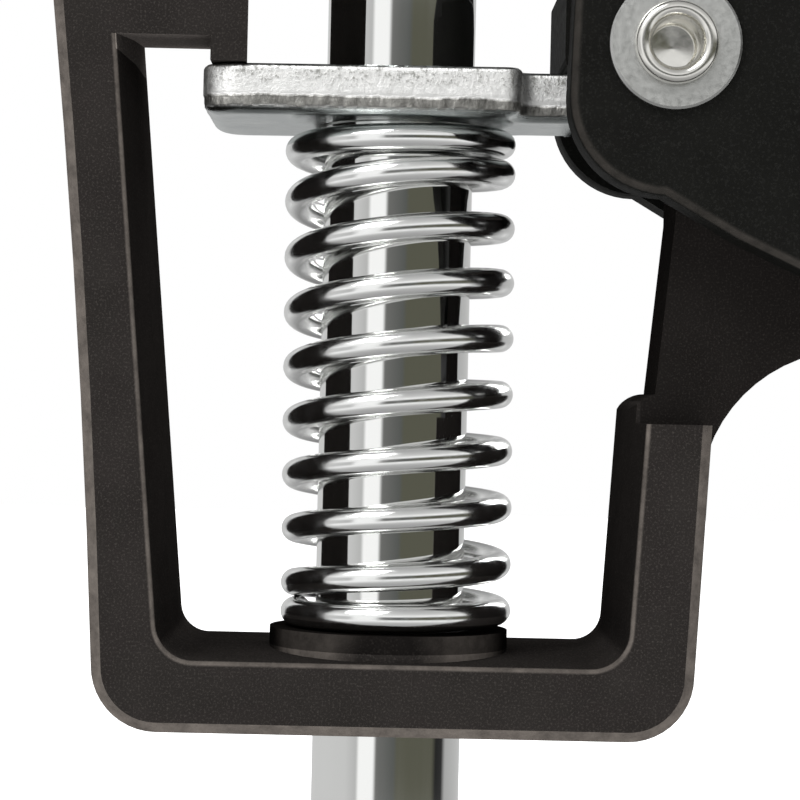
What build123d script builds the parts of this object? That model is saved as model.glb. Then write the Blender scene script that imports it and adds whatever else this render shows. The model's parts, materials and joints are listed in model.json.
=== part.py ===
import os
from math import cos, radians, sin, tan

from build123d import *

# One-hand trigger clamp on a round rod.  Millimetres, +Z up along the rod.
# The origin is on the rod's axis, level with the lower face of the frame.
# +X points to the handle and trigger, -X to the jaws, -Y is the front.

# ---------------------------------------------------------------- rod and jaws
rod_d = 10.0
rod_bottom_z = -45.0
rod_top_z = 163.0
running_gap = 0.08            # radial play of the rod in its guide bushes
bush_press_r = 5.6            # outside of the lower bush, pressed into the frame
upper_bush_r = 6.6
stop_z = -30.0                # retaining ring below the frame
stop_t = 1.5
stop_r = 8.0
cap_r = 6.8                   # rubber cap on the rod's lower end
cap_h = 12.5
cap_floor = 2.5
jaw_pin_r = 1.5
jaw_pins_z = (149.5, 157.5)
jaw_opening = 60.0            # distance between the pads as modelled
pad_face_z = 84.2             # level of the moving jaw's pad face
pad_t = 3.0
jaw_tip_x = -67.0
pad_end_x = -23.0

# ---------------------------------------------------------------- frame
half_depth = 9.0
foot_z = 0.3                  # underside of the bottom bar
bar_t = 5.5                   # top of the bottom bar
outer_corner_r = 4.3
foot_left_x = -19.3           # outer faces just above the foot corners
foot_right_x = 19.9
window_left_x = -14.5         # window edges at the bar
window_left_slope = -0.0887   # their spread with height
window_right_x = 15.0
window_right_slope = 0.057
window_corner_r = 2.0
front_draft = 3.0             # degrees, front half of the window only
inner_edge_r = 0.5            # soft front edge around the window
mid_wall_z = 56.7
mid_wall_t = 4.0
housing_top_z = 79.5
cavity_top_z = 74.2
cavity_left_x = -15.0
cavity_right_x = 14.0
housing_right_x = 20.0
column_top_z = 23.0           # back flange of the right column
column_front_top_z = 21.0     # front flange of the right column
web_half = 4.0
web_end_x = 31.0
lug_left_x = -12.4
lug_right_x = -10.0
handle_half = 5.0
root_top_z = 62.8
pocket_depth = 3.0            # of the pockets in both jaws' arms
hang_hole_r = 2.5
hang_hole_x = 99.5
hang_hole_z = 66.4
grip_half = 11.5
grip_recess_r = 3.3
grip_screw_r = 1.5
grip_screws_at = [(48.0, 63.2), (70.0, 65.8), (88.0, 66.3)]

# ---------------------------------------------------------------- drive
seat_z = 6.8                  # spring seat
seat_r = 8.05
spring_length = 33.8
spring_od = 15.6
spring_wire = 1.8
spring_turns = 9
plate_t = 3.2
plate_half = 8.75
plate_left_x = -13.0
plate_shoulder_x = 7.6
tongue_half = 5.0
tongue_end_x = 12.8
plate_hole_r = 5.3
plate_z = seat_z + spring_length
plate_top_z = plate_z + plate_t

# ---------------------------------------------------------------- trigger
pivot_x = 17.3
pivot_z = 45.2
cheek_in = 8.2
cheek_out = 12.5
arm_angle = -27.0
arm_length = 86.0
slot_r = 23.2                 # the cheeks are open inside this radius
boss_r = 4.1
bush_r = 2.8
shank_r = 2.0
washer_r = 4.2
washer_t = 0.6
rivet_rim_r = 2.65
rivet_head_t = 0.9
hub_x = 17.0
hub_z = 41.9
hub_r = 6.3
back_hub_r = 5.9              # the back cheek's hub is smaller
back_hub_z = hub_z + 1.1
tongue_gap = 0.2              # between the nose and the drive plate's tongue
nose_left_x = 10.6
nose_right_x = 12.9
pad_start = 27.0              # rubber pad, along the arm
pad_end = 82.0
pad_skin = 2.6

# ---------------------------------------------------------------- brake
brake_z = 67.0                # middle of the brake plate on the rod's axis
brake_tilt = 5.0              # degrees, right end up while it holds
brake_t = 3.0
brake_half = 7.0
brake_left = 13.4
brake_right = 34.0
brake_hole_r = 5.65
button_x = 30.3               # along the brake plate
button_skin = 1.4             # plastic over and under the plate
fulcrum_x = -11.5
fulcrum_r = 1.5
fulcrum_z = (brake_z + brake_t / 2 / cos(radians(brake_tilt))
             + fulcrum_x * tan(radians(brake_tilt)) + fulcrum_r + 0.12)
cover_t = 1.5
cover_left_x = -17.0
cover_right_x = 16.0
cover_low_z = 58.7
cover_high_z = 76.2
cover_screws_at = [(-14.6, 58.7 + 1.7), (13.6, 58.7 + 1.7)]

FRONT = Plane.XZ              # local x is +X, local y is +Z, normal is -Y
os.makedirs("parts", exist_ok=True)


def window_edge(foot_x, slope, z):
    """Edge of the frame's window at height z."""
    return foot_x + slope * (z - bar_t)


def arm(along, across):
    """Point of the trigger's arm: along its length from the pivot, and across it."""
    a = radians(arm_angle)
    x = pivot_x + along * cos(a) - across * sin(a)
    z = pivot_z + along * sin(a) + across * cos(a)
    return (x, z)


def disc_y(radius, y_from, y_to, x, z, mode=Mode.ADD):
    """Cylinder along Y between two depths, centred on the point (x, z)."""
    with Locations((x, (y_from + y_to) / 2, z)):
        Cylinder(radius, abs(y_to - y_from), rotation=(90, 0, 0), mode=mode)


def arm_line(points):
    """Polyline through points given along and across the trigger's arm."""
    return Polyline(*[arm(along, across) for along, across in points])


def save(piece, name):
    """Label a finished piece and write its STEP file."""
    piece.label = name
    export_step(piece, f"parts/{name}.step")


# ---------------------------------------------------------------- frame
# The lower half is a U with slightly splayed columns.  The left column runs up to
# the housing; the right one stops short and a thin web carries on between the
# trigger's cheeks.  The housing holds the brake, the jaw arm and the handle core.
corner_top_z = foot_z + outer_corner_r
window_left_top = window_edge(window_left_x, window_left_slope, 60)
window_right_top = window_edge(window_right_x, window_right_slope, 60)
with BuildPart() as frame:
    with BuildSketch(FRONT):
        with BuildLine():
            Line((foot_left_x + outer_corner_r, foot_z), (foot_right_x - outer_corner_r, foot_z))
            RadiusArc((foot_right_x - outer_corner_r, foot_z), (foot_right_x, corner_top_z),
                      -outer_corner_r)
            Line((foot_right_x, corner_top_z), (20.8, column_top_z))
            Polyline((20.8, column_top_z), (10, column_top_z), (-10, 58.0), (-23.9, 58.0))
            ThreePointArc((-23.9, 58.0), (-20.8, 28.0), (foot_left_x, corner_top_z))
            RadiusArc((foot_left_x, corner_top_z), (foot_left_x + outer_corner_r, foot_z),
                      -outer_corner_r)
        make_face()
    extrude(amount=half_depth, both=True)
    rim_edges = frame.edges().filter_by(Plane.XZ).group_by(Axis.Y)
    chamfer(rim_edges[0] + rim_edges[-1], 0.7)
    # window: straight in the back half, drafted open towards the front
    with BuildSketch(FRONT, mode=Mode.PRIVATE) as window:
        with BuildLine():
            Polyline((window_left_x, bar_t), (window_right_x, bar_t),
                     (window_right_top, 60), (window_left_top, 60), close=True)
        make_face()
        fillet(window.vertices().group_by(Axis.Z)[0], window_corner_r)
    extrude(window.sketch, amount=-half_depth - 1, mode=Mode.SUBTRACT)
    extrude(window.sketch, amount=half_depth + 1, taper=-front_draft, mode=Mode.SUBTRACT)
    front_rim = frame.edges().filter_by(Plane.XZ).group_by(Axis.Y)[0]
    fillet(front_rim.filter_by(lambda edge: edge.center().Z > 4 and -19 < edge.center().X < 17.5),
           inner_edge_r)
    # raised seat for the return spring
    with Locations((0, 0, foot_z)):
        Cylinder(seat_r, seat_z - foot_z, align=(Align.CENTER, Align.CENTER, Align.MIN))
    # the front flange of the right column is the shorter one
    with BuildSketch(Plane.XZ.offset(web_half)):
        with Locations((18.4, column_top_z + 1)):
            Rectangle(12, 2 * (column_top_z - column_front_top_z + 1))
    extrude(amount=half_depth, mode=Mode.SUBTRACT)
    # back flange: round its corner on the window side
    with BuildSketch(FRONT.offset(web_half)):
        with BuildLine():
            Line((14.5, column_top_z - 2), (14.5, column_top_z + 1))
            Line((14.5, column_top_z + 1), (17.8, column_top_z + 1))
            Line((17.8, column_top_z + 1), (17.8, column_top_z))
            ThreePointArc((17.8, column_top_z), (16.3, column_top_z - 0.6), (15.7, column_top_z - 2))
            Line((15.7, column_top_z - 2), (14.5, column_top_z - 2))
        make_face()
    extrude(amount=-half_depth - web_half, mode=Mode.SUBTRACT)
    # web from the right column past the pivot to the handle root
    with BuildSketch(FRONT):
        with BuildLine():
            Polyline((17.2, 16.0), (17.35, 23.0), (18.45, 34.6), (18.45, 42.0), (14.4, 46.0),
                     (14.4, 58.0), (web_end_x, 58.0), (web_end_x, 27.5), (26.9, 25.5))
            ThreePointArc((26.9, 25.5), (22.6, 22.3), (20.7, 18.2))
            Polyline((20.7, 18.2), (20.3, 16.0), (17.2, 16.0))
        make_face()
    extrude(amount=web_half, both=True)
    # pivot boss
    with BuildSketch(FRONT):
        with Locations((pivot_x, pivot_z)):
            Circle(boss_r)
    extrude(amount=cheek_in - 0.3, both=True)
    # housing with the moving jaw's arm
    with BuildSketch(FRONT):
        with BuildLine():
            Polyline((housing_right_x, mid_wall_z), (housing_right_x, 73.5), (14.5, housing_top_z),
                     (-19.0, housing_top_z), (-21.0, pad_face_z - pad_t),
                     (jaw_tip_x, pad_face_z - pad_t), (jaw_tip_x, 75.5), (-62.0, 71.5))
            ThreePointArc((-62.0, 71.5), (-40.0, 67.5), (-23.8, mid_wall_z))
            Line((-23.8, mid_wall_z), (housing_right_x, mid_wall_z))
        make_face()
    extrude(amount=half_depth, both=True)
    # lightening pockets in the jaw's arm
    for side in (1, -1):
        with BuildSketch(FRONT.offset(side * half_depth)) as pocket:
            Polygon((-60.5, 77.6), (-29.0, 77.6), (-26.5, 66.5), (-38.0, 70.3), (-60.5, 74.6), align=None)
            fillet(pocket.vertices(), 1.2)
        extrude(amount=-side * pocket_depth, mode=Mode.SUBTRACT)
    # block over the drive plate's left end, and the lug that the plate bears on
    with BuildSketch(Plane.YZ.offset(-19.5)):
        with BuildLine():
            Polyline((-half_depth, 45.5), (half_depth, 46.8), (half_depth, 57.5),
                     (-half_depth, 57.5), close=True)
        make_face()
    extrude(amount=19.5 + lug_right_x)
    with BuildSketch(FRONT):
        with Locations(((lug_left_x + lug_right_x) / 2, 46.0)):
            Rectangle(lug_right_x - lug_left_x, 2 * (46.0 - plate_top_z - 0.1))
    extrude(amount=half_depth, both=True)
    # draft on the side of the block and lug that faces the rod
    with BuildSketch(Plane.XY.offset(plate_top_z)):
        Polygon((lug_right_x, -half_depth - 0.2), (lug_right_x + 1.2, -half_depth - 0.2),
                (lug_right_x + 1.2, half_depth + 0.2), (lug_right_x - 0.9, half_depth + 0.2), align=None)
    extrude(amount=mid_wall_z - plate_top_z, mode=Mode.SUBTRACT)
    # handle core: a slim root under the release tab, then the full grip height
    with BuildSketch(FRONT):
        with BuildLine():
            Polyline((19.0, 57.2), (38.0, 57.2))
            ThreePointArc((38.0, 57.2), (72.0, 57.9), (104.0, 62.0))
            ThreePointArc((104.0, 62.0), (105.8, 66.8), (103.0, 70.8))
            ThreePointArc((103.0, 70.8), (74.0, 74.2), (46.0, 69.5))
            ThreePointArc((46.0, 69.5), (42.5, 65.2), (38.0, root_top_z))
            Polyline((38.0, root_top_z), (19.0, root_top_z), (19.0, 57.2))
        make_face()
    extrude(amount=handle_half, both=True)
    with BuildSketch(FRONT):
        with Locations((28.0, (57.2 + root_top_z) / 2)):
            Rectangle(20.0, root_top_z - 57.2)
    extrude(amount=half_depth, both=True)
    # brake cavity, its cover rebates and the slot for the release tab
    with BuildSketch(FRONT):
        with Locations(((cavity_left_x + cavity_right_x) / 2,
                        (mid_wall_z + mid_wall_t + cavity_top_z) / 2)):
            Rectangle(cavity_right_x - cavity_left_x, cavity_top_z - mid_wall_z - mid_wall_t)
    extrude(amount=half_depth, both=True, mode=Mode.SUBTRACT)
    for side in (1, -1):
        with BuildSketch(FRONT.offset(side * (half_depth - cover_t))):
            with Locations(((cover_left_x + cover_right_x) / 2, (cover_low_z + cover_high_z) / 2)):
                RectangleRounded(cover_right_x - cover_left_x, cover_high_z - cover_low_z, 2)
        extrude(amount=side * (cover_t + 1), mode=Mode.SUBTRACT)
    with BuildSketch(Plane.YZ.offset(cavity_right_x - 1)):
        with Locations((0, 67.8)):
            Rectangle(11.4, 12.4)
    extrude(amount=8.0, mode=Mode.SUBTRACT)
    # bores for the rod, its bushes, the pivot bush, the fulcrum pin and the hang hole
    with Locations((0, 0, seat_z / 2)):
        Cylinder(bush_press_r, seat_z + 2, mode=Mode.SUBTRACT)
    with Locations((0, 0, mid_wall_z + 2)):
        Cylinder(5.5, mid_wall_t + 4, mode=Mode.SUBTRACT)
    with Locations((0, 0, 77.0)):
        Cylinder(upper_bush_r, 7.0, mode=Mode.SUBTRACT)
    disc_y(bush_r, -half_depth, half_depth, pivot_x, pivot_z, Mode.SUBTRACT)
    disc_y(hang_hole_r, -half_depth, half_depth, hang_hole_x, hang_hole_z, Mode.SUBTRACT)
    for x, z in grip_screws_at:
        disc_y(grip_screw_r, -half_depth, half_depth, x, z, Mode.SUBTRACT)
    disc_y(fulcrum_r, -7.5, 7.5, fulcrum_x, fulcrum_z, Mode.SUBTRACT)
save(frame.part, "frame")


# ---------------------------------------------------------------- guide bushes
bush_bore_r = rod_d / 2 + running_gap
with BuildPart() as lower_guide_bush:
    with BuildSketch(Plane.XZ):
        Polygon((bush_bore_r, 0), (bush_press_r + 0.3, 0), (bush_press_r + 0.3, foot_z),
                (bush_press_r, foot_z), (bush_press_r, seat_z), (bush_bore_r, seat_z), align=None)
    revolve(axis=Axis.Z)
save(lower_guide_bush.part, "lower_guide_bush")

with BuildPart() as upper_guide_bush:
    with BuildSketch(Plane.XZ):
        Polygon((bush_bore_r, cavity_top_z), (upper_bush_r, cavity_top_z), (upper_bush_r, housing_top_z),
                (8.2, housing_top_z), (8.2, housing_top_z + 0.9), (7.8, housing_top_z + 1.3),
                (bush_bore_r, housing_top_z + 1.3), align=None)
    revolve(axis=Axis.Z)
save(upper_guide_bush.part, "upper_guide_bush")

# ---------------------------------------------------------------- rod and its ends
with BuildPart() as rod:
    with Locations((0, 0, rod_bottom_z)):
        Cylinder(rod_d / 2, rod_top_z - rod_bottom_z, align=(Align.CENTER, Align.CENTER, Align.MIN))
    chamfer(rod.edges().filter_by(GeomType.CIRCLE), 0.6)
    with Locations((0, 0, stop_z + stop_t / 2)):
        Cylinder(rod_d / 2 + 1, stop_t, mode=Mode.SUBTRACT)
        Cylinder(rod_d / 2 - 0.6, stop_t)
    for pin_z in jaw_pins_z:
        disc_y(jaw_pin_r, 8, -8, 0, pin_z, Mode.SUBTRACT)
save(rod.part, "rod")

with BuildPart() as rod_stop_ring:
    with BuildSketch(Plane.XY.offset(stop_z)):
        Circle(stop_r)
        Circle(rod_d / 2 - 0.6, mode=Mode.SUBTRACT)
        with Locations((0, -6)):
            Rectangle(6.0, 12.0, mode=Mode.SUBTRACT)
    extrude(amount=stop_t)
save(rod_stop_ring.part, "rod_stop_ring")

with BuildPart() as rod_end_cap:
    with Locations((0, 0, rod_bottom_z - cap_floor)):
        Cylinder(cap_r, cap_h, align=(Align.CENTER, Align.CENTER, Align.MIN))
    fillet(rod_end_cap.edges().filter_by(GeomType.CIRCLE).sort_by(Axis.Z)[0], 2.0)
    with Locations((0, 0, rod_bottom_z)):
        Cylinder(rod_d / 2, 20, align=(Align.CENTER, Align.CENTER, Align.MIN), mode=Mode.SUBTRACT)
save(rod_end_cap.part, "rod_end_cap")

# ---------------------------------------------------------------- drive plate and springs
with BuildPart() as drive_plate:
    with BuildSketch(Plane.XY.offset(plate_z)) as plate_outline:
        with Locations(((plate_left_x + plate_shoulder_x) / 2, 0)):
            Rectangle(plate_shoulder_x - plate_left_x, 2 * plate_half)
        fillet(plate_outline.vertices().group_by(Axis.X)[0], 2.3)
        with Locations((tongue_end_x / 2, 0)):
            Rectangle(tongue_end_x, 2 * tongue_half)
        Circle(plate_hole_r, mode=Mode.SUBTRACT)
    extrude(amount=plate_t)
save(drive_plate.part, "drive_plate")


def coil(wire_d, outer_d, low_z, high_z, turns):
    """Round-wire spring standing between two levels, as a swept helix."""
    mean_r = (outer_d - wire_d) / 2
    rise = high_z - low_z - wire_d
    path = Helix(pitch=rise / turns, height=rise, radius=mean_r, center=(0, 0, low_z + wire_d / 2))
    with BuildPart(mode=Mode.PRIVATE) as wound:
        with BuildLine():
            add(path)
        with BuildSketch(Plane(origin=path @ 0, z_dir=path % 0)):
            Circle(wire_d / 2)
        sweep(is_frenet=True)
    return wound.part


return_spring = coil(spring_wire, spring_od, seat_z + 0.05, plate_z - 0.05, spring_turns)
save(return_spring, "return_spring")
brake_spring = coil(1.1, 14.4, mid_wall_z + mid_wall_t, 64.75, 3)
save(brake_spring, "brake_spring")

# ---------------------------------------------------------------- pivot
with BuildPart() as pivot_bush:
    disc_y(bush_r, -cheek_in + 0.1, cheek_in - 0.1, pivot_x, pivot_z)
    disc_y(shank_r + 0.05, -half_depth, half_depth, pivot_x, pivot_z, Mode.SUBTRACT)
save(pivot_bush.part, "pivot_bush")

for name, side in (("pivot_washer_front", -1), ("pivot_washer_back", 1)):
    with BuildPart() as washer:
        disc_y(washer_r, side * cheek_out, side * (cheek_out + washer_t), pivot_x, pivot_z)
        disc_y(shank_r, side * (cheek_out - 1), side * (cheek_out + 1), pivot_x, pivot_z, Mode.SUBTRACT)
    save(washer.part, name)

rivet_end = cheek_out + washer_t + rivet_head_t
with BuildPart() as pivot_rivet:
    disc_y(shank_r, -rivet_end, rivet_end, pivot_x, pivot_z)
    for side in (-1, 1):
        disc_y(rivet_rim_r, side * (cheek_out + washer_t), side * rivet_end, pivot_x, pivot_z)
        disc_y(1.7, side * (rivet_end - 0.7), side * (rivet_end + 1), pivot_x, pivot_z, Mode.SUBTRACT)
save(pivot_rivet.part, "pivot_rivet")

# ---------------------------------------------------------------- trigger
# Two cheeks straddle the web; outside the slot radius a floor joins them into a
# channel, and a nose bridges them over the drive plate's tongue.


def pad_outline():
    """Side view of the rubber pad along the underside of the trigger's arm."""
    Line(arm(pad_start, -8.8 + pad_skin), arm(pad_start, -12))
    Line(arm(pad_start, -12), arm(pad_end, -12))
    Line(arm(pad_end, -12), arm(pad_end, -9.4 + pad_skin))
    ThreePointArc(arm(pad_end, -9.4 + pad_skin), arm(54, -7.4 + pad_skin), arm(pad_start, -8.8 + pad_skin))


def lever_outline():
    """Side view of the whole trigger: round hub, then the arm."""
    ThreePointArc((hub_x - hub_r, hub_z), (hub_x - 4.45, hub_z - 4.45), (hub_x - 0.1, hub_z - hub_r))
    Polyline((hub_x - 0.1, hub_z - hub_r), (21.6, 32.9), arm(20, -8.6))
    ThreePointArc(arm(20, -8.6), arm(52, -7.4), arm(80, -9.0))
    ThreePointArc(arm(80, -9.0), arm(arm_length + 1.6, -3.6), arm(arm_length - 2.0, 1.2))
    ThreePointArc(arm(arm_length - 2.0, 1.2), arm(55, 4.6), arm(20, 8.4))
    Line(arm(20, 8.4), (27.0, 51.2))
    ThreePointArc((27.0, 51.2), (17.0, 53.0), (hub_x - hub_r + 0.2, 49.0))
    Line((hub_x - hub_r + 0.2, 49.0), (hub_x - hub_r, hub_z))


with BuildPart() as trigger:
    with BuildSketch(FRONT):
        with BuildLine():
            lever_outline()
        make_face()
    extrude(amount=cheek_out, both=True)
    long_edges = trigger.edges().filter_by(Plane.XZ).group_by(Axis.Y)
    fillet(long_edges[0] + long_edges[-1], 0.8)
    with BuildSketch(FRONT):
        with BuildLine():
            pad_outline()
        make_face()
    extrude(amount=cheek_out + 1, both=True, mode=Mode.SUBTRACT)
    disc_y(slot_r, -cheek_in, cheek_in, pivot_x, pivot_z, Mode.SUBTRACT)
    # open channel in the arm, with a rib across it
    with BuildSketch(FRONT):
        with BuildLine():
            arm_line([(15, -20), (15, 30), (78, 30), (81, -1.5), (78, -5.0)])
            ThreePointArc(arm(78, -5.0), arm(52, -2.2), arm(27, -3.6))
            arm_line([(27, -3.6), (20, -20), (15, -20)])
        make_face()
    extrude(amount=cheek_in, both=True, mode=Mode.SUBTRACT)
    for along in (38, 52, 66):
        with BuildSketch(FRONT):
            with BuildLine():
                arm_line([(along - 0.9, -4.0), (along + 0.9, -4.0), (along + 0.9, 3.4),
                          (along - 0.9, 3.4), (along - 0.9, -4.0)])
            make_face()
        extrude(amount=cheek_in, both=True)
    # the back cheek's hub is cut back
    with BuildSketch(FRONT.offset(-cheek_in)):
        with BuildLine():
            Line((9.0, back_hub_z), (hub_x - back_hub_r, back_hub_z))
            ThreePointArc((hub_x - back_hub_r, back_hub_z), (12.83, 38.83),
                          (hub_x, back_hub_z - back_hub_r))
            Polyline((hub_x, back_hub_z - back_hub_r), (19.4, 35.7), (26.0, 30.9), (26.0, 26.0),
                     (9.0, 26.0), (9.0, back_hub_z))
        make_face()
    extrude(amount=-cheek_in, mode=Mode.SUBTRACT)
    # nose
    with BuildSketch(FRONT):
        with Locations(((nose_left_x + nose_right_x) / 2, (plate_top_z + tongue_gap + 50.4) / 2)):
            RectangleRounded(nose_right_x - nose_left_x, 50.4 - plate_top_z - tongue_gap, 0.6)
    extrude(amount=cheek_in, both=True)
    disc_y(shank_r + 0.05, -15, 15, pivot_x, pivot_z, Mode.SUBTRACT)
save(trigger.part, "trigger")

with BuildPart() as trigger_grip_pad:
    with BuildSketch(FRONT):
        with BuildLine():
            lever_outline()
        make_face()
    extrude(amount=cheek_out, both=True)
    long_edges = trigger_grip_pad.edges().filter_by(Plane.XZ).group_by(Axis.Y)
    fillet(long_edges[0] + long_edges[-1], 0.8)
    with BuildSketch(FRONT):
        with BuildLine():
            pad_outline()
        make_face()
    extrude(amount=cheek_out + 1, both=True, mode=Mode.INTERSECT)
save(trigger_grip_pad.part, "trigger_grip_pad")

# ---------------------------------------------------------------- brake
BRAKE = Plane(origin=(0, 0, brake_z), x_dir=(cos(radians(brake_tilt)), 0, sin(radians(brake_tilt))),
              z_dir=(-sin(radians(brake_tilt)), 0, cos(radians(brake_tilt))))
with BuildPart() as brake_plate:
    with BuildSketch(BRAKE.offset(-brake_t / 2)):
        with Locations((-brake_left / 2 + 5, 0)):
            Rectangle(brake_left + 10, 2 * brake_half)
        with Locations((brake_right / 2, 0)):
            Rectangle(brake_right, 10.0)
        Circle(brake_hole_r, mode=Mode.SUBTRACT)
    extrude(amount=brake_t)
save(brake_plate.part, "brake_plate")

with BuildPart() as release_button:
    with BuildSketch(BRAKE.offset(-brake_t / 2 - button_skin)):
        with Locations((button_x, 0)):
            RectangleRounded(12.6, 15.0, 3)
    extrude(amount=brake_t + 2 * button_skin)
    fillet(release_button.faces().sort_by(Axis.Z)[-1].edges(), 1.0)
    with BuildSketch(BRAKE.offset(-brake_t / 2)):
        with Locations((brake_right / 2, 0)):
            Rectangle(brake_right, 10.0)
    extrude(amount=brake_t, mode=Mode.SUBTRACT)
save(release_button.part, "release_button")

with BuildPart() as brake_fulcrum_pin:
    disc_y(fulcrum_r, -7.4, 7.4, fulcrum_x, fulcrum_z)
save(brake_fulcrum_pin.part, "brake_fulcrum_pin")

for name, side in (("brake_cover_front", -1), ("brake_cover_back", 1)):
    with BuildPart() as cover:
        with BuildSketch(FRONT.offset(-side * (half_depth - cover_t))):
            with Locations(((cover_left_x + cover_right_x) / 2, (cover_low_z + cover_high_z) / 2)):
                RectangleRounded(cover_right_x - cover_left_x, cover_high_z - cover_low_z, 2)
        extrude(amount=-side * cover_t)
        for x, z in cover_screws_at:
            disc_y(1.0, -half_depth, half_depth, x, z, Mode.SUBTRACT)
    save(cover.part, name)

with BuildPart() as brake_cover_screws:
    for x, z in cover_screws_at:
        for side in (-1, 1):
            disc_y(1.0, side * (half_depth - cover_t), side * half_depth, x, z)
save(brake_cover_screws.part, "brake_cover_screws")

# ---------------------------------------------------------------- moving jaw pad
with BuildPart() as moving_jaw_pad:
    with BuildSketch(Plane.XY.offset(pad_face_z - pad_t)):
        with Locations(((jaw_tip_x + pad_end_x) / 2, 0)):
            RectangleRounded(pad_end_x - jaw_tip_x, 2 * half_depth + 2, 2.5)
    extrude(amount=pad_t)
save(moving_jaw_pad.part, "moving_jaw_pad")

# ---------------------------------------------------------------- fixed jaw on the rod's top
fixed_face_z = pad_face_z + jaw_opening
fixed_arm_z = fixed_face_z + pad_t
with BuildPart() as fixed_jaw:
    with BuildSketch(FRONT):
        with BuildLine():
            Polyline((9.5, 142.5), (9.5, 162.0), (7.5, 165.5), (-9.5, 165.5))
            ThreePointArc((-9.5, 165.5), (-36.0, 161.5), (-63.0, 156.5))
            Polyline((-63.0, 156.5), (jaw_tip_x, 153.0), (jaw_tip_x, fixed_arm_z),
                     (-20.5, fixed_arm_z), (-11.0, 142.5), (9.5, 142.5))
        make_face()
    extrude(amount=half_depth, both=True)
    jaw_edges = fixed_jaw.edges().filter_by(Plane.XZ).group_by(Axis.Y)
    chamfer(jaw_edges[0] + jaw_edges[-1], 0.7)
    for side in (1, -1):
        with BuildSketch(FRONT.offset(side * half_depth)) as pocket:
            Polygon((-60.5, 150.6), (-20.0, 150.6), (-14.5, 146.5), (-9.5, 146.5), (-9.5, 161.5),
                    (-36.0, 158.0), (-60.5, 153.8), align=None)
            fillet(pocket.vertices(), 1.2)
        extrude(amount=-side * pocket_depth, mode=Mode.SUBTRACT)
    with Locations((0, 0, 140.0)):
        Cylinder(rod_d / 2, rod_top_z - 140.0, align=(Align.CENTER, Align.CENTER, Align.MIN),
                 mode=Mode.SUBTRACT)
    for pin_z in jaw_pins_z:
        disc_y(jaw_pin_r, -10, 10, 0, pin_z, Mode.SUBTRACT)
save(fixed_jaw.part, "fixed_jaw")

with BuildPart() as fixed_jaw_pins:
    for pin_z in jaw_pins_z:
        disc_y(jaw_pin_r, -half_depth + 0.2, half_depth - 0.2, 0, pin_z)
        disc_y(0.8, -half_depth, half_depth, 0, pin_z, Mode.SUBTRACT)
save(fixed_jaw_pins.part, "fixed_jaw_pins")

with BuildPart() as fixed_jaw_pad:
    with BuildSketch(Plane.XY.offset(fixed_face_z)):
        with Locations(((jaw_tip_x + pad_end_x) / 2, 0)):
            RectangleRounded(pad_end_x - jaw_tip_x, 2 * half_depth + 2, 2.5)
    extrude(amount=pad_t)
save(fixed_jaw_pad.part, "fixed_jaw_pad")

# ---------------------------------------------------------------- handle grips and their fasteners
with BuildPart() as handle_grip_back:
    with BuildSketch(FRONT.offset(-handle_half)):
        with BuildLine():
            Line((40.5, 56.8), (46.0, 57.0))
            ThreePointArc((46.0, 57.0), (74.0, 57.7), (104.0, 61.5))
            ThreePointArc((104.0, 61.5), (106.4, 66.8), (103.0, 71.5))
            ThreePointArc((103.0, 71.5), (74.0, 74.9), (46.0, 70.0))
            ThreePointArc((46.0, 70.0), (41.8, 64.2), (40.5, 56.8))
        make_face()
    extrude(amount=handle_half - grip_half)
    fillet(handle_grip_back.faces().sort_by(Axis.Y)[-1].edges(), 3.0)
    disc_y(hang_hole_r + 1.2, 4, 14, hang_hole_x, hang_hole_z, Mode.SUBTRACT)
    for x, z in grip_screws_at:
        disc_y(grip_recess_r, grip_half - 2.2, 14, x, z, Mode.SUBTRACT)
        disc_y(grip_screw_r, 4, 14, x, z, Mode.SUBTRACT)
save(handle_grip_back.part, "handle_grip_back")

with BuildPart() as handle_grip_front:
    mirror(handle_grip_back.part, about=Plane.XZ)
save(handle_grip_front.part, "handle_grip_front")

with BuildPart() as grip_screws:
    for x, z in grip_screws_at:
        disc_y(grip_screw_r, -(grip_half - 2.2), grip_half - 1.0, x, z)
        disc_y(2.9, -(grip_half - 2.2), -(grip_half - 0.4), x, z)
        disc_y(1.2, -(grip_half - 1.4), -grip_half, x, z, Mode.SUBTRACT)
save(grip_screws.part, "grip_screws")

with BuildPart() as grip_nuts:
    for x, z in grip_screws_at:
        with BuildSketch(FRONT.offset(-(grip_half - 2.2))):
            with Locations((x, z)):
                RegularPolygon(3.1, 6)
                Circle(grip_screw_r, mode=Mode.SUBTRACT)
        extrude(amount=-1.8)
save(grip_nuts.part, "grip_nuts")
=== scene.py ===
import json
import math

import bmesh
import bpy
from mathutils import Matrix, Vector, noise
from mathutils.geometry import tessellate_polygon


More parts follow.
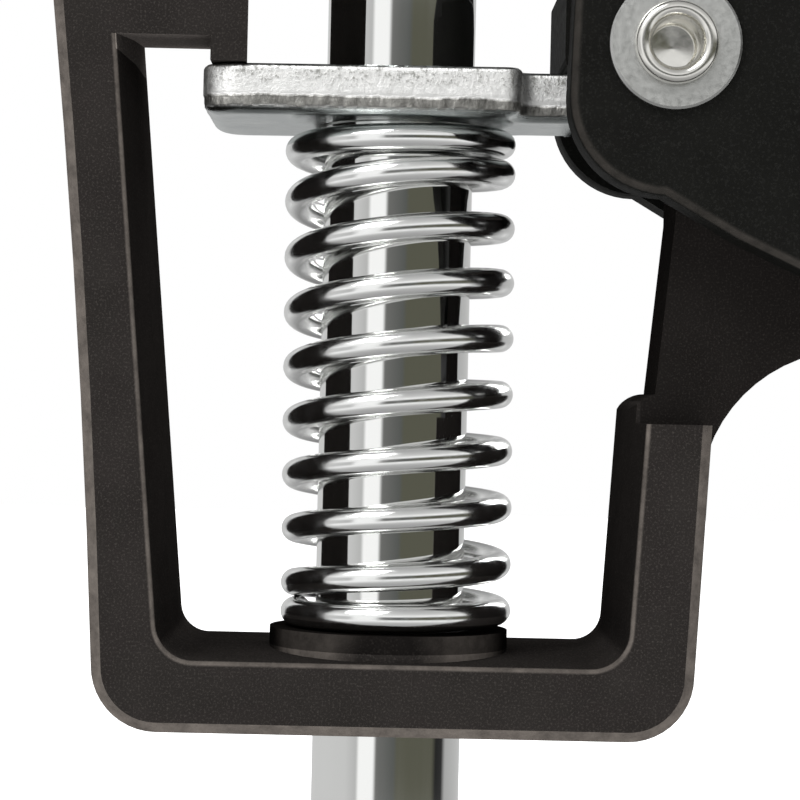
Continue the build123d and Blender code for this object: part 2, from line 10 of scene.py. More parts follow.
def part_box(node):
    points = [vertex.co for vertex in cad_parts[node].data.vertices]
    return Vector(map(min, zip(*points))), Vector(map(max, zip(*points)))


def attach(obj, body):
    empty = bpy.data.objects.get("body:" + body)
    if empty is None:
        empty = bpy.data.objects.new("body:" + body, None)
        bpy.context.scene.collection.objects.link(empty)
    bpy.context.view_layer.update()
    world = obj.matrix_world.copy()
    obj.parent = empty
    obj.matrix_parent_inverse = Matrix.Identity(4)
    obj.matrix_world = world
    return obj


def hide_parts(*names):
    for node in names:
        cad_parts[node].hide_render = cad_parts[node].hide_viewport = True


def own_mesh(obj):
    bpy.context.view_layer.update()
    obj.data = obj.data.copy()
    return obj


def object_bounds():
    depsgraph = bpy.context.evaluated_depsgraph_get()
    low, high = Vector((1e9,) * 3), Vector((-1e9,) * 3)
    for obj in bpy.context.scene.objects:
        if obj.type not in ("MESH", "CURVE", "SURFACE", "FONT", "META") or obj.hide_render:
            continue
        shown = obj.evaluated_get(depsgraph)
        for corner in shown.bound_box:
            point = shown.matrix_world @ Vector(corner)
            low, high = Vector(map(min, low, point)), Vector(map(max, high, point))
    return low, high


# One-hand trigger clamp: materials, detailed pieces, studio and camera.
# Lengths are metres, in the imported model's frame: +Z along the rod, -Y the front.
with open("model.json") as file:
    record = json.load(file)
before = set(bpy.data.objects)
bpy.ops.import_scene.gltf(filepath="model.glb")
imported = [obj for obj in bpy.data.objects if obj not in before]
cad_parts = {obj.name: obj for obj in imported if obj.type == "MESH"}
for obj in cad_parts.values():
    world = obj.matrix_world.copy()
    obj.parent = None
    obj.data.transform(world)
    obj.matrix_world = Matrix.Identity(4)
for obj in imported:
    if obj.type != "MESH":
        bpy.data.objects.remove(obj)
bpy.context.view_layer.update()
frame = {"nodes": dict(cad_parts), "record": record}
NODES = frame["nodes"]
MM = 0.001


def size(node):
    """Lowest corner, highest corner and centre of a CAD node."""
    low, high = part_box(node)
    return low, high, (low + high) / 2


# ------------------------------------------------------------------ shader helpers
class Nodes:
    """Short calls for the node types that the materials and the studio share."""

    def __init__(self, tree):
        self.tree = tree

    def add(self, kind):
        return self.tree.nodes.new("ShaderNode" + kind)

    def feed(self, value, socket):
        """Put a number, a colour or another node's output into a socket."""
        if isinstance(value, tuple):
            socket.default_value = (*value, 1)
        elif isinstance(value, (int, float)):
            socket.default_value = value
        else:
            self.tree.links.new(value, socket)

    def calculate(self, operation, first, second=0.0, third=0.0):
        """Result of a math node on outputs or plain numbers."""
        node = self.add("Math")
        node.operation = operation
        for value, socket in zip((first, second, third), node.inputs):
            self.feed(value, socket)
        return node.outputs[0]

    def split(self, vector):
        """The three components of a vector output."""
        node = self.add("SeparateXYZ")
        self.tree.links.new(vector, node.inputs[0])
        return node.outputs

    def ramp(self, factor, stops):
        """Colour ramp; each stop is (position, grey or colour)."""
        node = self.add("ValToRGB")
        elements = node.color_ramp.elements
        while len(elements) < len(stops):
            elements.new(0.5)
        for element, (position, color) in zip(elements, stops):
            element.position = position
            element.color = (color, color, color, 1) if isinstance(color, float) else (*color, 1)
        self.tree.links.new(factor, node.inputs["Fac"])
        return node.outputs["Color"]

    def mix(self, factor, first, second, blend="MIX"):
        """Blend of two colours."""
        node = self.add("Mix")
        node.data_type = "RGBA"
        node.blend_type = blend
        for value, socket in ((factor, node.inputs["Factor"]), (first, node.inputs[6]),
                              (second, node.inputs[7])):
            self.feed(value, socket)
        return node.outputs[2]


class Shader(Nodes):
    """A material, with the calls that only a surface needs."""

    def __init__(self, name, color, metallic=0.0, roughness=0.5, specular=0.5):
        self.material = bpy.data.materials.new(name)
        self.material.use_nodes = True
        super().__init__(self.material.node_tree)
        self.principled = self.tree.nodes["Principled BSDF"]
        self.set("Base Color", (*color, 1.0))
        self.set("Metallic", metallic)
        self.set("Roughness", roughness)
        self.set("Specular IOR Level", specular)
        self.coords = self.add("TexCoord").outputs["Object"]

    def set(self, socket, value):
        self.principled.inputs[socket].default_value = value

    def link(self, output, socket):
        self.tree.links.new(output, self.principled.inputs[socket])

    def stretched(self, scale):
        """Object coordinates scaled by three factors, for grain with a direction."""
        mapping = self.add("Mapping")
        mapping.inputs["Scale"].default_value = scale
        self.tree.links.new(self.coords, mapping.inputs["Vector"])
        return mapping.outputs["Vector"]

    def facing(self, axis):
        """How far the surface looks along an axis, either way: 1 is straight along it, 0 is across it."""
        normal = self.add("TexCoord").outputs["Normal"]
        return self.calculate("ABSOLUTE", self.split(normal)[axis])

    def wear_and_highlight_edges(self):
        """1 on bevels and rounded edges turned part way to the front or back: real wear plus a painted
        highlight.
        """
        return self.ramp(self.facing("Y"), [(0.3, 0.0), (0.5, 1.0), (0.86, 1.0), (0.97, 0.0)])

    def inside(self, low, high):
        """1 inside a box given by two corners, 0 outside."""
        place = self.split(self.coords)
        factor = 1.0
        for axis, lower, upper in zip("XYZ", low, high):
            middle, half = (lower + upper) / 2, (upper - lower) / 2
            factor = self.calculate("MULTIPLY", factor, self.calculate("COMPARE", place[axis], middle, half))
        return factor

    def noise(self, scale, detail=4.0, roughness=0.6, vector=None):
        node = self.add("TexNoise")
        node.inputs["Scale"].default_value = scale
        node.inputs["Detail"].default_value = detail
        node.inputs["Roughness"].default_value = roughness
        self.tree.links.new(vector or self.coords, node.inputs["Vector"])
        return node.outputs["Fac"]

    def voronoi(self, scale):
        node = self.add("TexVoronoi")
        node.inputs["Scale"].default_value = scale
        self.tree.links.new(self.coords, node.inputs["Vector"])
        return node.outputs["Distance"]

    def bump(self, height, strength, distance, under=None):
        """Relief on the surface, laid over an earlier bump if one is given."""
        node = self.add("Bump")
        node.inputs["Strength"].default_value = strength
        node.inputs["Distance"].default_value = distance
        self.tree.links.new(height, node.inputs["Height"])
        if under:
            self.tree.links.new(under, node.inputs["Normal"])
        self.link(node.outputs["Normal"], "Normal")
        return node.outputs["Normal"]


# ------------------------------------------------------------------ materials
def moulded_nylon(name, color, fleck, edge_wear_and_highlight, roughness, grain_scale, grain_depth, specular=0.02, side=1.0,
                  painted_shading=()):
    """Glass-filled nylon: fine grain, flecks of fibre, mottling, and paler edges from wear with a painted
    highlight.

    side paints shade: it darkens the faces that look along X. The last argument lists (low corner, high
    corner, factor) of boxes: under 1 is painted shade over a smoother skin, over 1 is painted light bounced
    from below.
    """
    s = Shader(name, color, roughness=roughness, specular=specular)
    grain = s.noise(grain_scale, 6.0, 0.75)
    mottle = s.noise(260.0, 3.0)
    pale = tuple(c * 1.1 for c in color)
    dark = tuple(c * 0.9 for c in color)
    body = s.mix(s.ramp(mottle, [(0.35, 0.0), (0.68, 1.0)]), dark, pale)
    flecks = s.ramp(s.noise(7000.0, 2.0, 0.7), [(0.52, 0.0), (0.72, 1.0)])
    body = s.mix(flecks, body, fleck)
    # pale edges: real wear in patches, and a painted highlight on bevels turned part way to the front
    patches = s.ramp(s.noise(700.0, 5.0, 0.7), [(0.3, 0.35), (0.7, 1.0)])
    rubbed_and_highlit = s.calculate("MULTIPLY", s.wear_and_highlight_edges(), patches)
    body = s.mix(rubbed_and_highlit, body, edge_wear_and_highlight)
    # painted shade: faces that look along X, such as the walls inside the window, are darkened
    if side < 1.0:
        body = s.mix(1.0, body, s.ramp(s.facing("X"), [(0.75, 1.0), (0.9, side)]), "MULTIPLY")
    # painted shade and painted bounce light in the listed boxes, laid over the edge colour
    for low, high, factor in painted_shading:
        body = s.mix(s.inside(low, high), body, s.mix(1.0, body, (factor,) * 3, "MULTIPLY"))
    s.link(body, "Base Color")
    s.link(s.ramp(grain, [(0.3, roughness - 0.08), (0.7, roughness + 0.12)]), "Roughness")
    s.bump(grain, 0.55, grain_depth)
    return s.material


def bright_plate(name, color, roughness, streaks):
    """Bright plating with faint drawing marks along the rod or wire."""
    s = Shader(name, color, metallic=1.0, roughness=roughness)
    marks = s.noise(900.0, 4.0, 0.6, s.stretched(streaks))
    s.link(s.ramp(marks, [(0.35, roughness * 0.7), (0.75, roughness * 1.8)]), "Roughness")
    s.bump(marks, 0.05, 0.00002)
    return s.material


def zinc_sheared(name, low_z, high_z):
    """Zinc over a blanked edge: torn strip low down, bright band, speckled top; flat faces smooth."""
    s = Shader(name, (0.9, 0.9, 0.89), metallic=1.0, roughness=0.3)
    torn_grain = s.noise(1100.0, 4.0, 0.7, s.stretched((1.0, 1.0, 0.45)))
    fine = s.noise(2300.0, 5.0, 0.75)
    waver = s.noise(330.0, 3.0, 0.6)
    height = s.split(s.coords)["Z"]
    level = s.calculate("MULTIPLY_ADD", height, 1 / (high_z - low_z), -low_z / (high_z - low_z))
    level = s.calculate("ADD", level, s.calculate("MULTIPLY_ADD", waver, 0.12, -0.06))
    level = s.calculate("ADD", level, s.calculate("MULTIPLY_ADD", torn_grain, 0.1, -0.05))
    torn = s.ramp(level, [(0.13, 0.0), (0.18, 1.0), (0.34, 1.0), (0.4, 0.0)])
    spotted = s.ramp(level, [(0.52, 0.0), (0.72, 1.0)])
    spots = s.calculate("MULTIPLY", spotted, s.ramp(fine, [(0.5, 0.0), (0.62, 1.0)]))
    strip = s.ramp(torn_grain, [(0.3, (0.13, 0.128, 0.118)), (0.7, (0.55, 0.54, 0.51))])
    side = s.mix(torn, s.mix(spots, (1.0, 1.0, 0.985), (0.42, 0.42, 0.4)), strip)
    flat = s.ramp(s.facing("Z"), [(0.55, 0.0), (0.8, 1.0)])
    haze = s.ramp(s.noise(300.0, 4.0), [(0.35, (0.47, 0.51, 0.505)), (0.7, (0.61, 0.645, 0.63))])
    s.link(s.mix(flat, side, haze), "Base Color")
    rough = s.ramp(fine, [(0.3, 0.34), (0.7, 0.62)])
    s.link(s.mix(flat, rough, (0.24, 0.24, 0.24)), "Roughness")
    relief = s.calculate("MULTIPLY", torn_grain, s.calculate("MULTIPLY_ADD", torn, 0.8, 0.2))
    under = s.bump(relief, 0.7, 0.00025)
    s.bump(s.calculate("MULTIPLY", fine, s.calculate("SUBTRACT", 1.0, flat)), 0.7, 0.00009, under)
    return s.material


def zinc_flat(name):
    """Zinc plating on rolled sheet: smooth, slightly blue, with a soft haze."""
    s = Shader(name, (0.72, 0.735, 0.72), metallic=1.0, roughness=0.3)
    haze = s.noise(420.0, 5.0, 0.65)
    s.link(s.ramp(haze, [(0.3, 0.22), (0.7, 0.4)]), "Roughness")
    cloud = s.ramp(haze, [(0.35, 0.0), (0.7, 1.0)])
    s.link(s.mix(cloud, (0.62, 0.64, 0.63), (0.8, 0.81, 0.79)), "Base Color")
    s.bump(s.noise(1400.0, 4.0), 0.12, 0.00004)
    return s.material


def satin_steel(name, color, roughness):
    """Tumbled and plated steel."""
    s = Shader(name, color, metallic=1.0, roughness=roughness)
    fine = s.noise(2600.0, 4.0)
    s.link(s.ramp(fine, [(0.3, roughness * 0.8), (0.7, roughness * 1.25)]), "Roughness")
    s.bump(fine, 0.1, 0.00002)
    return s.material


def soft_rubber(name, color):
    """Soft-touch moulding with a fine matt texture."""
    s = Shader(name, color, roughness=0.72, specular=0.3)
    stipple = s.voronoi(2400.0)
    wear = s.noise(120.0, 4.0)
    s.link(s.mix(s.ramp(wear, [(0.4, 0.0), (0.7, 1.0)]), color, tuple(c * 1.5 for c in color)), "Base Color")
    s.link(s.ramp(wear, [(0.3, 0.66), (0.7, 0.82)]), "Roughness")
    s.bump(stipple, 0.35, 0.00008)
    return s.material


# painted shade, partly a smoother skin too: the web recessed between the trigger's cheeks and the spring seat
# under the spring; painted light bounced up from below: the underside of the block over the plate
NYLON_PAINTED_SHADE_AND_LIGHT = [((0.0164, -0.0044, 0.014), (0.035, 0.0044, 0.0565), 0.6),
               ((-0.0083, -0.0083, 0.0056), (0.0083, 0.0083, 0.0071), 0.36),
               ((-0.0205, -0.0088, 0.0445), (-0.0125, 0.0095, 0.047), 4.0)]
MATERIALS = {
    # frame: its edge colour is wear plus a painted highlight; 0.5 paints shade on faces looking along X
    "frame_nylon": moulded_nylon("frame_nylon", (0.0165, 0.0147, 0.0137), (0.038, 0.034, 0.031),
                                 (0.115, 0.101, 0.09), 0.66, 3000.0, 0.00006, 0.0, 0.5, NYLON_PAINTED_SHADE_AND_LIGHT),
    "bush_nylon": moulded_nylon("bush_nylon", (0.008, 0.0075, 0.0072), (0.02, 0.019, 0.018),
                                (0.02, 0.018, 0.017), 0.55, 1800.0, 0.00002),
    "trigger_nylon": moulded_nylon("trigger_nylon", (0.0058, 0.0058, 0.0052), (0.012, 0.012, 0.011),
                                   (0.03, 0.027, 0.024), 0.6, 1600.0, 0.00003),
    "rod_chrome": bright_plate("rod_chrome", (0.9, 0.905, 0.89), 0.05, (1.0, 1.0, 0.03)),
    "spring_steel": bright_plate("spring_steel", (0.88, 0.885, 0.875), 0.15, (1.0, 1.0, 1.0)),
    "zinc_plate": zinc_flat("zinc_plate"),
    "zinc_sheared": zinc_sheared("zinc_sheared", size("drive_plate")[0].z, size("drive_plate")[1].z),
    "washer_steel": satin_steel("washer_steel", (0.72, 0.725, 0.705), 0.36),
    "rivet_steel": satin_steel("rivet_steel", (0.8, 0.79, 0.75), 0.2),
    "black_steel": satin_steel("black_steel", (0.06, 0.06, 0.064), 0.42),
    "soft_rubber": soft_rubber("soft_rubber", (0.014, 0.014, 0.0145)),
    "pad_rubber": soft_rubber("pad_rubber", (0.03, 0.03, 0.029)),
}


# ------------------------------------------------------------------ mesh helpers
def new_piece(name, vertices, faces, body, slot, replaced=(), smooth_angle=35):
    """Make a mesh piece in the row frame, give it its slot's material and its body."""
    mesh = bpy.data.meshes.new(name)
    mesh.from_pydata([tuple(v) for v in vertices], [], faces)
    mesh.validate()
    b = bmesh.new()
    b.from_mesh(mesh)
    bmesh.ops.recalc_face_normals(b, faces=b.faces)
    b.to_mesh(mesh)
    b.free()
    piece = bpy.data.objects.new(name, mesh)
    bpy.context.scene.collection.objects.link(piece)
    mesh.materials.append(MATERIALS[slot])
    mesh.shade_smooth()
    mesh.set_sharp_from_angle(angle=math.radians(smooth_angle))
    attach(piece, body)
    if replaced:
        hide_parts(*replaced)
    return piece


def basis(axis):
    """Two unit vectors across an axis, which make a right-handed set with it."""
    axis = Vector(axis).normalized()
    across = Vector((1, 0, 0)) if abs(axis.x) < 0.9 else Vector((0, 1, 0))
    first = (across - axis * across.dot(axis)).normalized()
    return first, axis.cross(first)


def lathe(name, profile, centre, axis, body, slot, replaced=(), steps=96, smooth_angle=35, flutes=None):
    """Turned piece: profile is (radius, distance along the axis) from end to end.

    flutes(angle, along) is how far a groove cuts into the surface there.
    """
    axis = Vector(axis).normalized()
    first, second = basis(axis)
    vertices, faces, rings = [], [], []
    for radius, along in profile:
        middle = Vector(centre) + axis * along
        if radius < 1e-7:
            rings.append([len(vertices)])
            vertices.append(middle)
            continue
        rings.append(list(range(len(vertices), len(vertices) + steps)))
        for k in range(steps):
            a = 2 * math.pi * k / steps
            cut = flutes(a, along) if flutes else 0.0
            vertices.append(middle + (radius - cut) * (first * math.cos(a) + second * math.sin(a)))
    for low, high in zip(rings, rings[1:]):
        for k in range(steps):
            n = (k + 1) % steps
            if len(low) == 1 and len(high) == 1:
                continue
            if len(low) == 1:
                faces.append((low[0], high[k], high[n]))
            elif len(high) == 1:
                faces.append((low[k], high[0], low[n]))
            else:
                faces.append((low[k], high[k], high[n], low[n]))
    if len(rings[0]) > 1 and profile[0] == profile[-1]:
        return new_piece(name, *merged(vertices, faces, rings), body, slot, replaced, smooth_angle)
    return new_piece(name, vertices, faces, body, slot, replaced, smooth_angle)


def merged(vertices, faces, rings):
    """Join a closed profile's last ring to its first."""
    swap = dict(zip(rings[-1], rings[0]))
    return vertices[:rings[-1][0]], [tuple(swap.get(i, i) for i in face) for face in faces]


def wire(name, points, radius, body, slot, replaced=(), steps=20):
    """Round wire with flat ends along a list of points that circle the Z axis."""
    vertices, faces = [], []
    count = len(points)
    for i, point in enumerate(points):
        ahead = points[min(i + 1, count - 1)] - points[max(i - 1, 0)]
        tangent = ahead.normalized()
        out = Vector((point.x, point.y, 0)).normalized()
        side = (out - tangent * out.dot(tangent)).normalized()
        up = tangent.cross(side)
        for k in range(steps):
            a = 2 * math.pi * k / steps
            vertices.append(point + radius * (side * math.cos(a) + up * math.sin(a)))
    for i in range(count - 1):
        for k in range(steps):
            n = (k + 1) % steps
            faces.append((i * steps + k, i * steps + n, (i + 1) * steps + n, (i + 1) * steps + k))
    faces.append(tuple(range(steps)))
    faces.append(tuple(range((count - 1) * steps, count * steps)))
    return new_piece(name, vertices, faces, body, slot, replaced, 50)


def rounded_loop(corners, spacing):
    """Closed outline from (x, y, corner radius), resampled at about even spacing."""
    points = []
    count = len(corners)
    for i in range(count):
        before, corner, after = (Vector(corners[j % count][:2]) for j in (i - 1, i, i + 1))
        radius = corners[i][2]
        into, out = (corner - before).normalized(), (after - corner).normalized()
        turn = math.acos(max(-1.0, min(1.0, into.dot(out))))
        reach = radius * math.tan(turn / 2)
        start = corner - into * reach
        side = Vector((-into.y, into.x)) * (1 if into.cross(out) > 0 else -1)
        middle = start + side * radius
        arc_steps = max(2, int(turn * radius / spacing))
        sign = 1 if into.cross(out) > 0 else -1
        for k in range(arc_steps + 1):
            a = sign * turn * k / arc_steps
            spoke = start - middle
            points.append(middle + Vector((spoke.x * math.cos(a) - spoke.y * math.sin(a),
                                           spoke.x * math.sin(a) + spoke.y * math.cos(a))))
    even = []
    for here, there in zip(points, points[1:] + points[:1]):
        parts = max(1, int((there - here).length / spacing))
        even += [here.lerp(there, k / parts) for k in range(parts)]
    return even


def inward(outline, distance):
    """Offset of a counter-clockwise outline towards its inside."""
    moved = []
    count = len(outline)
    for i, point in enumerate(outline):
        along = (outline[(i + 1) % count] - outline[i - 1]).normalized()
        moved.append(point + Vector((-along.y, along.x)) * distance)
    return moved


def slab_mesh(outline, layers, place, hole=None, relief=None):
    """Vertices and faces of a slab: layers are (height, inset), hole is (radius, steps)."""
    vertices, faces, rings = [], [], []
    count = len(outline)
    for height, inset in layers:
        loop = inward(outline, inset)
        rings.append(range(len(vertices), len(vertices) + count))
        for i, point in enumerate(loop):
            if relief:
                along = (outline[(i + 1) % count] - outline[i - 1]).normalized()
                point = point + Vector((-along.y, along.x)) * relief(point, height)
            vertices.append(Vector((point.x, point.y, height)))
    for low, high in zip(rings, rings[1:]):
        faces += [(low[i], low[(i + 1) % count], high[(i + 1) % count], high[i]) for i in range(count)]
    ends = []
    if hole:
        radius, steps = hole
        lip = 0.12 * MM
        bottom, top = layers[0][0], layers[-1][0]
        for height, r in ((bottom, radius + lip), (bottom + lip, radius), (top - lip, radius),
                          (top, radius + lip)):
            ends.append(range(len(vertices), len(vertices) + steps))
            for k in range(steps):
                a = 2 * math.pi * k / steps
                vertices.append(Vector((r * math.cos(a), r * math.sin(a), height)))
        for low, high in zip(ends, ends[1:]):
            faces += [(low[k], high[k], high[(k + 1) % steps], low[(k + 1) % steps]) for k in range(steps)]
    for ring, bore in ((rings[0], ends[:1]), (rings[-1], ends[-1:])):
        loops = [list(ring)] + [list(b) for b in bore]
        flat = [i for loop in loops for i in loop]
        faces += [tuple(flat[k] for k in triangle)
                  for triangle in tessellate_polygon([[vertices[i] for i in loop] for loop in loops])]
    return [place @ v for v in vertices], faces


def combined(parts):
    """One vertex and face list from several."""
    vertices, faces = [], []
    for more_vertices, more_faces in parts:
        start = len(vertices)
        vertices += more_vertices
        faces += [tuple(i + start for i in face) for face in more_faces]
    return vertices, faces


def ridge(start, end, up, width, height, steps=10):
    """Half-round raised rib between two points, fading at its ends."""
    start, end, up = Vector(start), Vector(end), Vector(up).normalized()
    side = (end - start).normalized().cross(up)
    lengthwise = 12
    vertices, faces = [], []
    for i in range(lengthwise + 1):
        t = i / lengthwise
        fade = math.sqrt(max(0.0, 1 - abs(2 * t - 1) ** 8)) * 0.98 + 0.02
        for k in range(steps + 1):
            a = math.pi * k / steps
            vertices.append(start.lerp(end, t) + side * math.cos(a) * width / 2 * fade
                            + up * (math.sin(a) * height * fade - 0.12 * MM))
    row = steps + 1
    for i in range(lengthwise):
        faces += [(i * row + k, i * row + k + 1, (i + 1) * row + k + 1, (i + 1) * row + k)
                  for k in range(steps)]
        faces.append((i * row, (i + 1) * row, (i + 1) * row + steps, i * row + steps))
    faces.append(tuple(range(row)))
    faces.append(tuple(range(lengthwise * row, lengthwise * row + row)))
    return vertices, faces


CORNERS = ((-1, -1), (1, -1), (1, 1), (-1, 1))


def block(centre, half, top, axis_up):
    """Small frustum for a tread pattern, rising from its base up or down along Z."""
    bottom = [(sx * half[0], sy * half[1], 0) for sx, sy in CORNERS]
    shoulder = [(x, y, top * 0.75) for x, y, _ in bottom]
    crown = [(x * 0.88, y * 0.88, top) for x, y, _ in bottom]
    vertices = [Vector(centre) + Vector((x, y, z * axis_up)) for x, y, z in bottom + shoulder + crown]
    faces = [(0, 1, 2, 3), (8, 9, 10, 11)]
    for low in (0, 4):
        faces += [(low + k, low + (k + 1) % 4, low + 4 + (k + 1) % 4, low + 4 + k) for k in range(4)]
    return vertices, faces


def ring(middle, first, second, radius, steps, sides=0):
    """Points round a centre: a circle, or a hexagon of that corner radius when sides is 6."""
    points = []
    for k in range(steps):
        a = 2 * math.pi * k / steps
        r = radius
        if sides:
            sector = (a + math.pi / sides) % (2 * math.pi / sides) - math.pi / sides
            r = radius * math.cos(math.pi / sides) / math.cos(sector)
        points.append(middle + r * (first * math.cos(a) + second * math.sin(a)))
    return points


def tube_faces(levels, steps):
    """Quads between stacked rings of vertices."""
    faces = []
    for low in range(0, (levels - 1) * steps, steps):
        faces += [(low + k, low + (k + 1) % steps, low + steps + (k + 1) % steps, low + steps + k)
                  for k in range(steps)]
    return faces


def socket_head(centre, axis, radius, height, key, depth, steps=48):
    """Cylinder-head screw with a rounded rim and a hexagon socket."""
    centre, axis = Vector(centre), Vector(axis).normalized()
    first, second = basis(axis)
    soft = min(0.25 * MM, radius * 0.2)
    levels = [(radius, 0, 0), (radius, height - soft, 0), (radius - 0.3 * soft, height - 0.3 * soft, 0),
              (radius - soft, height, 0), (key * 1.08, height, 6), (key, height - 0.08 * MM, 6),
              (key, height - depth, 6)]
    vertices = []
    for r, along, sides in levels:
        vertices += ring(centre + axis * along, first, second, r, steps, sides)
    faces = tube_faces(len(levels), steps)
    faces += [tuple(range(steps)), tuple(range((len(levels) - 1) * steps, len(levels) * steps))]
    return vertices, faces


def rod_mesh(start, end, radius, steps=32):
    """Plain round shank with a small end chamfer, as vertices and faces."""
    start, end = Vector(start), Vector(end)
    axis = (end - start).normalized()
    first, second = basis(axis)
    soft = 0.25 * MM
    vertices = []
    for middle, r in ((start, radius), (end - axis * soft, radius), (end, radius - soft)):
        vertices += ring(middle, first, second, r, steps)
    faces = tube_faces(3, steps)
    faces += [tuple(range(steps)), tuple(range(2 * steps, 3 * steps))]
    return vertices, faces


def soften(node, width, segments=2, angle=28):
    """Round a CAD node's edges with a bevel, leaving its own mesh as it is."""
    piece = NODES[node]
    weld = piece.modifiers.new("weld", "WELD")
    weld.merge_threshold = 1e-6
    bevel = piece.modifiers.new("bevel", "BEVEL")
    bevel.width = width
    bevel.segments = segments
    bevel.limit_method = "ANGLE"
    bevel.angle_limit = math.radians(angle)
    bevel.harden_normals = False


# ------------------------------------------------------------------ CAD nodes that stay
for entry in frame["record"]["subparts"]:
    shown = NODES[entry["node"]]
    shown.data.materials.clear()
    shown.data.materials.append(MATERIALS[entry["material_slot"]])

EDGE_WIDTHS = {
    0.4: ["fixed_jaw"],
    0.3: ["frame", "trigger", "release_button", "brake_cover_front", "brake_cover_back",
          "handle_grip_front", "handle_grip_back", "trigger_grip_pad"],
    0.25: ["rod_stop_ring"],
    0.2: ["brake_plate", "brake_fulcrum_pin"],
    0.15: ["pivot_bush"],
}
for width, names in EDGE_WIDTHS.items():
    for node in names:
        soften(node, width * MM)

# ------------------------------------------------------------------ rod
rod_low, rod_high, _ = size("rod")
rod_r = (rod_high.x - rod_low.x) / 2
ring_low, ring_high, _ = size("rod_stop_ring")
rod_profile = [(0, rod_low.z), (rod_r - 0.6 * MM, rod_low.z), (rod_r, rod_low.z + 0.6 * MM),
               (rod_r, ring_low.z), (rod_r - 0.6 * MM, ring_low.z), (rod_r - 0.6 * MM, ring_high.z),
               (rod_r, ring_high.z), (rod_r, rod_high.z - 0.6 * MM), (rod_r - 0.6 * MM, rod_high.z),
               (0, rod_high.z)]
lathe("rod_bar", rod_profile, (0, 0, 0), (0, 0, 1), "rod", "rod_chrome", ["rod"], steps=160)


# ------------------------------------------------------------------ springs
def eased(value):
    """0 below 0, 1 above 1, and smooth between."""
    value = max(0.0, min(1.0, value))
    return value * value * (3 - 2 * value)


def coil_path(mean_r, low, high, turns, closing, flat=(0.0, 0.0), start=0.0, bow=0.0, lift=0.0,
              shift=(0.0, 0.0), steps=72):
    """Right-hand helix from the left side: flat end turns, then the pitch opens over closing turns.

    bow leans the coils sideways, lift tips their front against their back, and shift moves the first and
    the last coil along +X.
    """
    count = int(turns * steps)
    pitches = []
    for k in range(count):
        turn = (k + 0.5) / steps
        pitches.append(max(0.0, min(1.0, (turn - flat[0]) / closing, (turns - flat[1] - turn) / closing)))
    points, done, total = [], 0.0, sum(pitches)
    for k in range(count + 1):
        turn = k / steps
        angle = math.pi + 2 * math.pi * (turn + start)
        share = done / total
        z = low + (high - low) * share
        lean = math.sin(math.pi * (turn / turns - 0.3) / 0.7) * eased(turn) * eased(turns - turn)
        z += bow * math.cos(angle) * lean
        z -= lift * math.sin(angle) * min(1.0, turn / 6.0) * eased((turns - 0.6 - turn) / 0.9)
        across = shift[0] * (1 - share) + shift[1] * share
        points.append(Vector((mean_r * math.cos(angle) + across, mean_r * math.sin(angle), z)))
        if k < count:
            done += pitches[k]
    return points


spring_low, spring_high, _ = size("return_spring")
wire_r = 0.92 * MM
spring_mean_r = (spring_high.x - spring_low.x) / 2 - wire_r
spring = wire("return_spring_coil",
              coil_path(spring_mean_r, spring_low.z + wire_r, spring_high.z - wire_r, 9.94, 1.05, (0.04, 0.3),
                        start=-0.04, bow=0.22 * MM, lift=0.6 * MM, shift=(0.45 * MM, 0.1 * MM)),
              wire_r, "frame", "spring_steel", ["return_spring"], 24)
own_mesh(spring)

# ------------------------------------------------------------------ washers and rivet
for name, sign in (("pivot_washer_front", -1), ("pivot_washer_back", 1)):
    low, high, centre = size(name)
    outer, inner = (high.x - low.x) / 2, 2.0 * MM
    near = min(abs(low.y), abs(high.y))
    thick = high.y - low.y
    soft = 0.15 * MM
    profile = [(inner, 0), (outer, 0), (outer, thick - soft), (outer - soft, thick), (inner + soft, thick),
               (inner, thick - soft), (inner, 0)]
    lathe(name + "_turned", profile, (centre.x, sign * near, centre.z), (0, sign, 0), "frame", "washer_steel",
          [name], steps=128)

_, rivet_high, rivet_centre = size("pivot_rivet")
washer_face = size("pivot_washer_back")[1].y
rivet_out = rivet_high.y


def rivet_half():
    """Half of the tubular rivet: turned floor deep in the bore, rolled rim, shank."""
    rim, bore, floor = 2.65 * MM, 1.55 * MM, 1.4 * MM
    top = rivet_out
    points = [(0, top - 3.9 * MM)]
    rings = 10
    for k in range(1, rings + 1):
        points.append((floor * k / rings, top - (3.9 - 0.2 * k / rings) * MM))
    points += [(floor + 0.02 * MM, top - 3.4 * MM), (bore - 0.04 * MM, top - 3.3 * MM),
               (bore, top - 3.1 * MM), (bore, top - 0.85 * MM), (bore + 0.1 * MM, top - 0.6 * MM)]
    roll = 0.48 * MM
    for k in range(13):
        a = math.radians(190 - 200 * k / 12)
        tuck = 0.05 * MM if k == 0 else 0
        points.append((rim - roll + roll * math.cos(a) - tuck, top - roll + roll * math.sin(a)))
    points += [(rim, washer_face + 0.16 * MM), (rim - 0.12 * MM, washer_face), (2.0 * MM, washer_face)]
    return points


half = rivet_half()
rivet_profile = half + [(r, -y) for r, y in reversed(half)]
lathe("pivot_rivet_turned", rivet_profile, (rivet_centre.x, 0, rivet_centre.z), (0, 1, 0), "frame",
      "rivet_steel", ["pivot_rivet"], steps=128)


